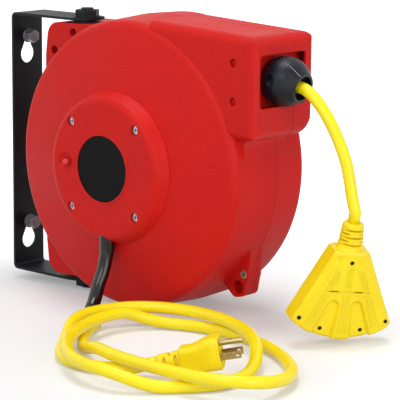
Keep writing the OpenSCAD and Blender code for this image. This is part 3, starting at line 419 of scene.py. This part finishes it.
def tap_sink(x, z):
    """How far the tap's broad face lies under its highest plane at x, z."""
    side = (TAP_TOP - np.abs(x)) * SIDE_NORMAL[0] - z * SIDE_NORMAL[1]
    low = FAN_R - np.hypot(x, z - FAN_Z)
    bevel = side / BEVEL_W
    sink = BEVEL_D * (1 - 0.35 * ease(bevel) - 0.65 * np.clip(bevel, 0, 1))
    # A band beside the bevel, then the rounding along the curved edge and the top
    sink += 0.55 * (1 - ease((side - 9.4) / 1.1)) * ease(side / 4) * ease((-z - 3) / 4)
    sink += 1.5 * (1 - np.clip(low / 2.2, 0, 1)) ** 2 + 0.9 * (1 - np.clip(-z / 1.6, 0, 1))
    for middle in VALLEY_AT:
        a = math.radians(middle)
        along = x * math.sin(a) - (z - FAN_Z) * math.cos(a) - VALLEY_FROM
        across = np.abs(x * math.cos(a) + (z - FAN_Z) * math.sin(a))
        reach = np.where(along < 0, np.hypot(along, across), across - along * 0.15)
        sink = sink + VALLEY_D * ease((VALLEY_R - reach) / 2.8)
    from_x, from_z = np.abs(x - DENT_X + z * 0.12), np.abs(z - DENT_Z)
    dent = ease((2.0 - from_x) / 1.4) * ease((4.4 - from_z) / 2)
    return np.minimum(sink + 0.9 * dent, DEEPEST)


def tap_plate():
    """The fan-shaped block: a grid for each broad face, joined round the edge."""
    columns, rows = 133, 105
    u, v = np.meshgrid(np.linspace(-1, 1, columns), np.linspace(0, 1, rows) ** 0.92)
    x = TAP_TOP * u * (1 - v) + FAN_R * np.sin(FAN_A * u) * v
    z = (FAN_Z - FAN_R * np.cos(FAN_A * u)) * v
    y = -TAP_T / 2 + tap_sink(x, z)
    front = np.stack([x, y, z], axis=2).reshape(-1, 3)
    back = front * (1, -1, 1)
    n = columns * rows
    faces = []
    for r in range(rows - 1):
        for c in range(columns - 1):
            a = r * columns + c
            faces.append((a, a + columns, a + columns + 1, a + 1))
            faces.append((n + a, n + a + 1, n + a + columns + 1, n + a + columns))
    edge = (
        list(range(columns - 1))
        + [(r + 1) * columns - 1 for r in range(rows - 1)]
        + [rows * columns - 1 - c for c in range(columns - 1)]
        + [(rows - 1 - r) * columns for r in range(rows - 1)]
    )
    for a, b in zip(edge, edge[1:] + edge[:1]):
        faces.append((a, b, n + b, n + a))
    return np.vstack([front, back]), faces


def prism(outline, z0, z1):
    """An outline of (x, y) points carried from z0 to z1."""
    n = len(outline)
    points = [(x, y, z) for z in (z0, z1) for x, y in outline]
    faces = [tuple(range(n)), tuple(range(2 * n - 1, n - 1, -1))]
    faces += [(k, n + k, n + (k + 1) % n, (k + 1) % n) for k in range(n)]
    return np.array(points, float), faces


def tap_cutters():
    """Slots for three plugs in the curved edge, a slit and the rivet wells in both faces."""
    parts = []
    below, deep = -3, 19  # from outside the curved edge to the slots' ends
    out = Matrix.Translation((0, 0, -FAN_R))
    for a in (-30, 0, 30):
        m = Matrix.Translation((0, 0, FAN_Z)) @ turned("Y", -a) @ out
        for x in (-BLADE_X, BLADE_X):
            blade = box((x - BLADE_T, -5.5, below), (x + BLADE_T, 2.5, deep))
            parts.append(placed(blade, m))
        parts.append(placed(rod((0, 6.3, below), (0, 6.3, deep), 2.7), m))
    slit, pocket = TAP_T / 2 - 1.3, TAP_T / 2 - 4.5
    section = [
        (-20.5, 20), (20.5, 20), (20.5, slit), (14.6, slit), (14.6, pocket), (6.8, pocket),
        (6.8, slit), (-8.2, slit), (-8.2, pocket), (-16.4, pocket), (-16.4, slit),
        (-20.5, slit),
    ]  # fmt: skip
    for s in (-1, 1):
        outline = [(x, s * y) for x, y in section]
        parts.append(prism(outline[::s], *SLIT))
        for x, z, d in RIVETS:
            parts.append(rod((x, s * 20, z), (x, s * (TAP_T / 2 - d - 1.8), z), 2.0))
    return joined(*parts)


def grip_lines():
    """Fine raised lines down the tap's three lobes, on both faces."""
    steps = 14
    size = 0.5 * np.sin(np.linspace(0.12, math.pi - 0.12, steps)) ** 0.4
    parts = []
    for lobe, top, low in ((-22.2, -16, -70), (0, -13.5, -76), (22.2, -16, -70)):
        lean = math.tan(math.radians(lobe))
        for k in (-1.5, -0.5, 0.5, 1.5):
            for z0, z1 in ((top, SLIT[1] + 1.4), (SLIT[0] - 1.4, low)):
                z = np.linspace(z0, z1, steps)
                reach = 8 - z
                x = reach * lean + k * (1.15 + 0.016 * reach)
                y = -TAP_T / 2 + tap_sink(x, z)
                for s in (1, -1):
                    path = np.stack([x, s * y, z], axis=1)
                    parts.append(tube(path, size, 5, (0, s, 0)))
    return joined(*parts)


def relief(height, r0, r1, slots, half, depth, flare=0.0):
    """Strain relief down the Z axis from 0, of radius r0 to r1 with a flared foot. slots are
    (z, angle) of oval windows in its side, half are their half angle and half height."""
    z = np.arange(0, height + 0.2, 0.4)
    rim, foot = 1 - ease(z / 1.6), flare * ease((z - height + 4) / 4)
    r = r0 + (r1 - r0) * z / height - rim + foot

    def windows(i, angle):
        """How far the side is pressed in at point i of the axis."""
        out = 0.0
        for at, middle in slots:
            off = np.abs((angle - math.radians(middle) + math.pi) % (2 * math.pi) - math.pi)
            reach = np.clip(1 - (off / math.radians(half[0])) ** 2, 0, 1) ** 0.5
            out = out + ease((half[1] * reach - np.abs(z[i] - at)) / 0.5 + 0.2) * (reach > 0.05)
        return -depth * np.minimum(out, 1)

    path = np.stack([0 * z, 0 * z, -z], axis=1)
    return tube(path, r, 72, (1, 0, 0), windows)


def make_tap():
    """Tap body: the carved plate with its grip lines, under the strain relief."""
    down = Matrix.Translation((0, 0, -RELIEF_H))
    plate = new_object("tap_moulding", tap_plate(), 28)
    carve(plate, tap_cutters(), 28)
    data = plate.data
    cut = np.array([v.co for v in data.vertices]), [tuple(p.vertices) for p in data.polygons]
    bpy.data.objects.remove(plate)
    slots = [(z, a) for z in (5.5, 12, 18.5) for a in (90, 270)]
    slots += [(z, a) for z in (8.8, 15.3) for a in (0, 180)]
    neck = relief(RELIEF_H + 0.5, 9.6, 11.6, slots, (62, 0.8), 4.4, 1.2)
    mesh = joined(placed(cut, down), placed(grip_lines(), down), neck)
    piece = new_object("tap_moulding", placed(mesh, AT_TAP), 28)
    return dressed(piece, "cord", "moulded_yellow", "tap_body")


PLUG_L, PLUG_RELIEF = 35.0, 20.0
PLUG_EDGE = 1.6  # rounding at the relief's end
SQUARENESS = 0.42  # 1 is an ellipse, 0 a box


def make_plug():
    """Plug body: rounded sections along X from its relief to the rim round its face."""
    x = np.concatenate(
        [np.linspace(0, PLUG_EDGE, 5), np.linspace(2.4, 33, 40), np.linspace(33.4, PLUG_L, 7)]
    )
    sides = 64
    angle = np.arange(sides) * 2 * math.pi / sides
    cos, sin = np.cos(angle), np.sin(angle)
    y = np.sign(cos) * np.abs(cos) ** SQUARENESS
    z = np.sign(sin) * np.abs(sin) ** SQUARENESS
    points = []
    for at in x:
        t = at / PLUG_L
        half_w = 10.4 + 1.0 * ease(t / 0.4) + 2.0 * ease((t - 0.4) / 0.45)
        top = 8.9 + 5.6 * ease((t - 0.22) / 0.62)
        low = -11.7 - 2.7 * ease((t - 0.05) / 0.4)
        draw = PLUG_EDGE * (1 - math.sqrt(max(0, 1 - (1 - min(at / PLUG_EDGE, 1)) ** 2)))
        groove = 0.55 * math.exp(-((at - 32.6) / 0.45) ** 2)
        inset = draw + groove + 0.5 * max(0, (at - 34.4) / 0.6) ** 2
        waist = 1.5 * np.exp(-((t - 0.3) / 0.26) ** 2) * np.exp(-((z + 0.15) / 0.55) ** 2)
        middle, half_h = (top + low) / 2, (top - low) / 2
        across, height = y * (half_w - inset - waist), middle + z * (half_h - inset)
        points.append(np.stack([np.full(sides, at), across, height], axis=1))
    for at, shrink in ((34.95, 1.5), (34.1, 1.9)):  # the rim, and the face sunk in it
        ring = points[-1].copy()
        centre = ring.mean(0)
        ring[:, 1:] = centre[1:] + (ring[:, 1:] - centre[1:]) * (1 - shrink / 13)
        ring[:, 0] = at
        points.append(ring)
    body = rings(np.vstack(points), len(points), sides)
    body = (body[0] + (PLUG_RELIEF, 0, 2), body[1])
    slots = [(z, a) for z in (6.5, 16.5) for a in (90, 270)]
    slots += [(11.5, a) for a in (0, 180)]
    neck = relief(PLUG_RELIEF + 0.5, 6.9, 8.3, slots, (46, 1.5), 2.9)
    neck = placed(neck, turned("Y", -90))
    piece = new_object("plug_moulding", placed(joined(body, neck), AT_PLUG), 32)
    return dressed(piece, "case", "moulded_yellow", "plug_body")


tap = make_tap()
plug = make_plug()
sleeve = make_sleeve()
ball_seam = make_ball_seam()
output_cord = cord_piece(
    "output_cord_jacket", hang_path, "cord", ["output_cord"],
)  # fmt: skip
lead_cord = cord_piece(
    "lead_in_cord", lead_path, "case", ["lead_cord", "lead_coil"],
)  # fmt: skip


# ---- materials ----


def linear(rgb):
    """From 0-255 display values to the shader's linear ones."""
    out = []
    for v in rgb:
        v /= 255
        out.append(v / 12.92 if v <= 0.04045 else ((v + 0.055) / 1.055) ** 2.4)
    return (*out, 1.0)


def node(tree, kind, links=None, **values):
    """A shader node with its sockets set by name, and links into them."""
    made = tree.nodes.new(kind)
    for name, value in values.items():
        if hasattr(made, name):
            setattr(made, name, value)
        else:
            made.inputs[name.replace("_", " ")].default_value = value
    for name, source in (links or {}).items():
        tree.links.new(source, made.inputs[name])
    return made


def ramp(tree, source, lo, hi, to_lo=0.0, to_hi=1.0):
    """The source's range from lo to hi carried to the range from to_lo to to_hi."""
    made = node(
        tree, "ShaderNodeMapRange", {"Value": source},
        From_Min=lo, From_Max=hi, To_Min=to_lo, To_Max=to_hi,
    )  # fmt: skip
    return made.outputs["Result"]


def mixed(tree, factor, a, b):
    """Colour a, or b where the factor is 1. Either is a colour or a socket."""
    made = node(tree, "ShaderNodeMix", {"Factor": factor}, data_type="RGBA")
    for name, colour in (("A", a), ("B", b)):
        if isinstance(colour, bpy.types.NodeSocket):
            tree.links.new(colour, made.inputs[name])
        else:
            made.inputs[name].default_value = linear(colour)
    return made.outputs["Result"]


def noise(tree, vector, size, detail=2.0, roughness=0.5, distortion=0.0):
    """Noise whose patches are about size millimetres wide."""
    made = node(
        tree, "ShaderNodeTexNoise", {"Vector": vector},
        Scale=1000 / size, Detail=detail, Roughness=roughness, Distortion=distortion,
    )  # fmt: skip
    return made.outputs["Fac"]


def maths(tree, operation, a, b):
    """A math node on socket a and b, which is a number or a socket."""
    made = node(tree, "ShaderNodeMath", {0: a}, operation=operation)
    if isinstance(b, bpy.types.NodeSocket):
        tree.links.new(b, made.inputs[1])
    else:
        made.inputs[1].default_value = b
    return made.outputs["Value"]


# Colour of the painted shade in screw recesses.
PAINTED_SHADE = (20, 19, 20)


def material(
    name, light, dark, patch=25.0, rough=(0.35, 0.45), grain=1.0, depth=0.04, metallic=0.0,
    specular=0.5, coat=0.0, edge=0.0, edge_highlight=0.0, streak=None, scuff=0.0, speck=0.0, dust_and_sheen=0.0,
    face=None,
):  # fmt: skip
    """Moulded or metal surface. Its colour drifts between light and dark over patches of the
    given size in mm, roughness drifts with it, and a grain of size and depth in mm is raised on
    it. edge rounds its edges by so many mm, and a painted edge highlight of the next strength
    lightens them; scuff and speck are the strengths of light marks and of the grain in the
    colour, and a third strength lightens faces that look up with dust and a painted sheen.
    Behind the plane y = face, in metres, it is painted dark as shade, as in a screw's recess."""
    mat = bpy.data.materials.new(name)
    mat.use_nodes = True
    tree = mat.node_tree
    shader = tree.nodes["Principled BSDF"]
    shader.inputs["Metallic"].default_value = metallic
    shader.inputs["Specular IOR Level"].default_value = specular
    shader.inputs["Coat Weight"].default_value = coat
    shader.inputs["Coat Roughness"].default_value = 0.12
    plain = tree.nodes.new("ShaderNodeTexCoord").outputs["Object"]
    where = plain
    if streak:
        stretched = node(tree, "ShaderNodeMapping", {"Vector": plain}, Scale=streak)
        where = stretched.outputs["Vector"]
    drift = noise(tree, where, patch, 3.0, 0.6)
    fine = noise(tree, where, grain)
    colour = mixed(tree, ramp(tree, drift, 0.3, 0.7), dark, light)
    if speck:
        grains = ramp(tree, noise(tree, where, grain * 1.6, 3.0), 0.36, 0.64, -speck, speck)
        colour = node(
            tree, "ShaderNodeHueSaturation",
            {"Color": colour, "Value": maths(tree, "ADD", grains, 1.0)},
        ).outputs["Color"]  # fmt: skip
    pale = [min(255, v * 1.15 + 32) for v in light]
    if scuff:
        marks = noise(tree, plain, 9, 6.0, 0.5, 1.5)
        colour = mixed(tree, ramp(tree, marks, 0.68, 0.78, 0, scuff), colour, pale)
    # Dust together with a painted sheen: faces that look up are lightened in patches.
    if dust_and_sheen:
        facing = tree.nodes.new("ShaderNodeNewGeometry").outputs["Normal"]
        up = node(tree, "ShaderNodeSeparateXYZ", {"Vector": facing}).outputs["Z"]
        thick = ramp(tree, drift, 0.35, 0.6, 0, dust_and_sheen)
        dust_sheen_mask = maths(tree, "MULTIPLY", ramp(tree, up, 0.3, 0.95), thick)
        colour = mixed(tree, dust_sheen_mask, colour, pale)
    # Painted shade: behind the plane y = face the colour darkens, as shade in a screw's recess.
    if face is not None:
        y = node(tree, "ShaderNodeSeparateXYZ", {"Vector": plain}).outputs["Y"]
        colour = mixed(tree, ramp(tree, y, face + 0.5 * MM, face + 1.1 * MM), colour, PAINTED_SHADE)
    normal = None
    if edge:
        soft = node(tree, "ShaderNodeBevel", Radius=edge * MM)
        soft.samples = 6
        normal = soft.outputs["Normal"]
    # Painted highlight: edges that the bevel rounds are lightened, as if they catch light.
    if edge_highlight:
        flat = tree.nodes.new("ShaderNodeNewGeometry").outputs["Normal"]
        turn = node(tree, "ShaderNodeVectorMath", {0: normal, 1: flat}, operation="DOT_PRODUCT")
        edge_glint = ramp(tree, turn.outputs["Value"], 0.985, 0.86)
        edge_glint = maths(tree, "MULTIPLY", edge_glint, ramp(tree, fine, 0.35, 0.6, edge_highlight * 0.5, edge_highlight))
        colour = mixed(tree, edge_glint, colour, pale)
    tree.links.new(colour, shader.inputs["Base Color"])
    gloss = maths(tree, "ADD", maths(tree, "MULTIPLY", fine, 0.35), drift)
    tree.links.new(ramp(tree, gloss, 0.47, 0.87, *rough), shader.inputs["Roughness"])
    bump = node(tree, "ShaderNodeBump", {"Height": fine}, Strength=1.0, Distance=depth * MM)
    if normal:
        tree.links.new(normal, bump.inputs["Normal"])
    tree.links.new(bump.outputs["Normal"], shader.inputs["Normal"])
    return mat


def zinc(name, light, dark, face=None):
    """Bright plating of the small screws."""
    return material(
        name, light, dark, 2.5, (0.24, 0.42), 0.4, 0.015, metallic=1.0, edge=0.3, scuff=0.3,
        face=face,
    )  # fmt: skip


def front_of(name):
    """The least y of a node in metres, where its foremost screw head ends."""
    return min(v.co.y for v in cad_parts[name].data.vertices)


LUG_BEHIND = 13.1  # how far the lug's screw head is behind the pivot block's

# Where a material below lightens its edges, that is a painted highlight.
RED = material(
    "satin_red_plastic", (208, 24, 18), (199, 19, 14), 60, (0.46, 0.58), 1.1, 0.14,
    specular=0.2, edge=1.3, edge_highlight=0.3, scuff=0.04, speck=0.08,
)  # fmt: skip
RED_BUTTON = material(
    "red_button_plastic", (216, 52, 46), (200, 40, 36), 8, (0.3, 0.4), 0.6, 0.02, edge=0.4
)
BRACKET = material(
    "black_powder_coat", (11, 15, 20), (6, 9, 13), 18, (0.44, 0.56), 1.1, 0.09, specular=0.22,
    edge=0.7, edge_highlight=0.2, scuff=0.06, speck=0.15,
)  # fmt: skip
BLACK = material(
    "black_plastic", (24, 25, 27), (16, 17, 19), 15, (0.4, 0.55), 0.8, 0.04, edge=0.4
)
LABEL = material(
    "black_label_film", (5, 5, 6), (2, 2, 3), 12, (0.5, 0.6), 0.5, 0.01, specular=0.1,
    scuff=0.04,
)  # fmt: skip
ZINC = zinc("bright_zinc", (168, 169, 172), (112, 114, 119))
# These two screw finishes paint shade into their heads' recesses and sides.
COVER_ZINC = zinc(
    "cover_screw_zinc", (206, 207, 210), (160, 162, 167), front_of("cover_screws")
)
LUG_ZINC = zinc(
    "case_screw_zinc", (206, 207, 210), (160, 162, 167),
    front_of("case_screws") + LUG_BEHIND * MM,
)  # fmt: skip
DULL_ZINC = material(
    "dull_zinc", (156, 158, 162), (84, 86, 90), 2.2, (0.3, 0.5), 0.5, 0.03, metallic=0.5,
    edge=0.6, edge_highlight=0.5, scuff=0.3,
)  # fmt: skip
OXIDE = material(
    "black_oxide_steel", (38, 40, 44), (24, 26, 29), 5, (0.3, 0.46), 0.5, 0.02, metallic=0.7,
    edge=0.5, edge_highlight=0.4,
)  # fmt: skip
STEEL = material(
    "machined_steel", (190, 190, 192), (150, 151, 154), 5, (0.25, 0.4), 0.5, 0.01, metallic=1.0,
    streak=(1, 1, 6),
)  # fmt: skip
SPRING = material(
    "blued_spring_steel", (120, 124, 134), (88, 90, 98), 6, (0.25, 0.38), 0.5, 0.01,
    metallic=1.0,
)  # fmt: skip
BRASS = material(
    "brass", (188, 168, 116), (150, 130, 84), 3, (0.24, 0.4), 0.5, 0.012, metallic=1.0,
    edge=0.25,
)  # fmt: skip
NYLON = material("grey_nylon", (52, 53, 55), (40, 41, 43), 10, (0.35, 0.45), 0.7, 0.03)
# The ball's faces that look up are lightened: dust with a painted sheen.
BALL = material(
    "black_ball_rubber", (13, 20, 32), (7, 11, 19), 14, (0.32, 0.44), 0.8, 0.09, specular=0.28,
    speck=0.14, dust_and_sheen=0.35,
)  # fmt: skip
FLASH = material("pale_flash_line", (176, 180, 188), (120, 126, 136), 2, (0.4, 0.5), 0.5, 0.01)
SLEEVE = material(
    "glossy_sleeve_rubber", (16, 12, 11), (9, 7, 7), 14, (0.14, 0.22), 1.5, 0.03,
    specular=0.35, coat=0.2,
)  # fmt: skip
JACKET = material(
    "yellow_jacket", (255, 236, 22), (252, 228, 16), 30, (0.3, 0.42), 1.0, 0.04, specular=0.45,
    scuff=0.06, speck=0.012,
)  # fmt: skip
MOULDED = material(
    "yellow_moulding", (255, 230, 18), (250, 220, 12), 22, (0.36, 0.48), 1.0, 0.05,
    specular=0.4, edge=0.6, edge_highlight=0.2, scuff=0.06, speck=0.015,
)  # fmt: skip

BY_NODE = {
    BRACKET: "bracket pivot_nuts",
    DULL_ZINC: "wall_bolts wall_washers",
    COVER_ZINC: "cover_screws",
    LUG_ZINC: "case_screws",
    ZINC: "bushing_screws ball_screws",
    OXIDE: "pivot_bolts tap_rivets",
    BLACK: "pivot_spacers pivot_bushings brush_block breaker_body drum_back drum_front "
    "slip_ring_core",
    RED: "front_shell back_shell hub_cover roller_frame",
    LABEL: "label_plate",
    STEEL: "drum_shaft spring_arbor roller_pins drum_screws ratchet_ring pawl pawl_pin",
    SPRING: "power_spring",
    BRASS: "brushes drum_bushings slip_rings tap_contacts plug_blades plug_ground_pin",
    RED_BUTTON: "reset_button",
    NYLON: "roller_top roller_bottom roller_front roller_rear",
    JACKET: "wound_cord inner_cord output_cord lead_cord lead_coil",
    BALL: "ball_front ball_back",
    MOULDED: "tap_body plug_body",
    SLEEVE: "inlet_sleeve",
}


def paint(obj, mat):
    """Give an object one material."""
    obj.data.materials.clear()
    obj.data.materials.append(mat)


def paint_all():
    """Paint the CAD nodes and the pieces made here."""
    for mat, names in BY_NODE.items():
        for name in names.split():
            paint(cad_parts[name], mat)
    for piece, mat in (
        (output_cord, JACKET), (lead_cord, JACKET), (ball_seam, FLASH), (tap, MOULDED),
        (plug, MOULDED), (sleeve, SLEEVE),
    ):  # fmt: skip
        paint(piece, mat)
    assert all(o.data.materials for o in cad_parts.values())


paint_all()


# ---- floor, background and light ----

AMBIENT = 0.42
FLOOR_GLOW = 0.27  # near the reel
FLOOR_COLOUR = (0.66, 0.67, 0.68, 1)
GLOW_CENTRE = (0.2, -0.2, 0)
GLOW_FROM, GLOW_TO = 0.3, 0.7  # metres from there over which the glow grows to white
FLOOR_HALF = 8.0
CENTRE = (0.2, -0.05, -0.02)  # what the lamps point at
# Name, place, size in metres and power in watts
LAMPS = [
    ("key", (0.75, -1.9, 1.2), 0.9, 12.5),
    ("left", (-1.1, -1.3, 0.9), 1.2, 3),
    ("right", (2.0, -0.5, 0.35), 1.2, 13),
    ("top", (0.2, -0.1, 1.9), 0.8, 15),
]


def white_ray(tree):
    """1 where the camera, a reflection or glass looks, else 0."""
    rays = tree.nodes.new("ShaderNodeLightPath")
    seen = rays.outputs["Is Camera Ray"]
    for name in ("Is Glossy Ray", "Is Transmission Ray"):
        seen = maths(tree, "MAXIMUM", seen, rays.outputs[name])
    return seen


def make_world():
    """Surroundings that look white and light the reel less than they look."""
    world = bpy.data.worlds.new("studio")
    scene.world = world
    world.use_nodes = True
    tree = world.node_tree
    tree.nodes.clear()
    level = ramp(tree, white_ray(tree), 0, 1, AMBIENT, 1.0)
    background = node(tree, "ShaderNodeBackground", {"Strength": level}, Color=(1, 1, 1, 1))
    out = tree.nodes.new("ShaderNodeOutputWorld")
    tree.links.new(background.outputs["Background"], out.inputs["Surface"])


def make_floor():
    """Floor that takes shadows by the reel and looks white further off."""
    r, z = FLOOR_HALF, (FLOOR_Z - 0.3) * MM  # just under the cord
    corners = [(-r, -r, z), (r, -r, z), (r, r, z), (-r, r, z)]
    floor = new_object("studio_floor", (np.array(corners), [(0, 1, 2, 3)]))
    mat = bpy.data.materials.new("studio_floor")
    mat.use_nodes = True
    tree = mat.node_tree
    tree.nodes.clear()
    plain = node(tree, "ShaderNodeBsdfDiffuse", Color=FLOOR_COLOUR).outputs["BSDF"]
    place = tree.nodes.new("ShaderNodeNewGeometry").outputs["Position"]
    distance = node(tree, "ShaderNodeVectorMath", {0: place}, operation="DISTANCE")
    distance.inputs[1].default_value = GLOW_CENTRE
    rise = ramp(tree, distance.outputs["Value"], GLOW_FROM, GLOW_TO, FLOOR_GLOW, 1.0)
    level = maths(tree, "MULTIPLY", white_ray(tree), rise)
    glow = node(tree, "ShaderNodeEmission", {"Strength": level}, Color=(1, 1, 1, 1))
    both = node(tree, "ShaderNodeAddShader", {0: plain, 1: glow.outputs["Emission"]})
    out = tree.nodes.new("ShaderNodeOutputMaterial")
    tree.links.new(both.outputs["Shader"], out.inputs["Surface"])
    paint(floor, mat)


def area_light(name, at, size, power):
    """Square lamp that points at CENTRE."""
    data = bpy.data.lights.new(name, "AREA")
    data.energy = power
    data.size = size
    light = bpy.data.objects.new(name, data)
    light.location = at
    light.rotation_mode = "QUATERNION"
    light.rotation_quaternion = (Vector(CENTRE) - Vector(at)).to_track_quat("-Z", "Y")
    scene.collection.objects.link(light)


make_world()
make_floor()
for lamp in LAMPS:
    area_light(*lamp)
scene.view_settings.view_transform = "Standard"
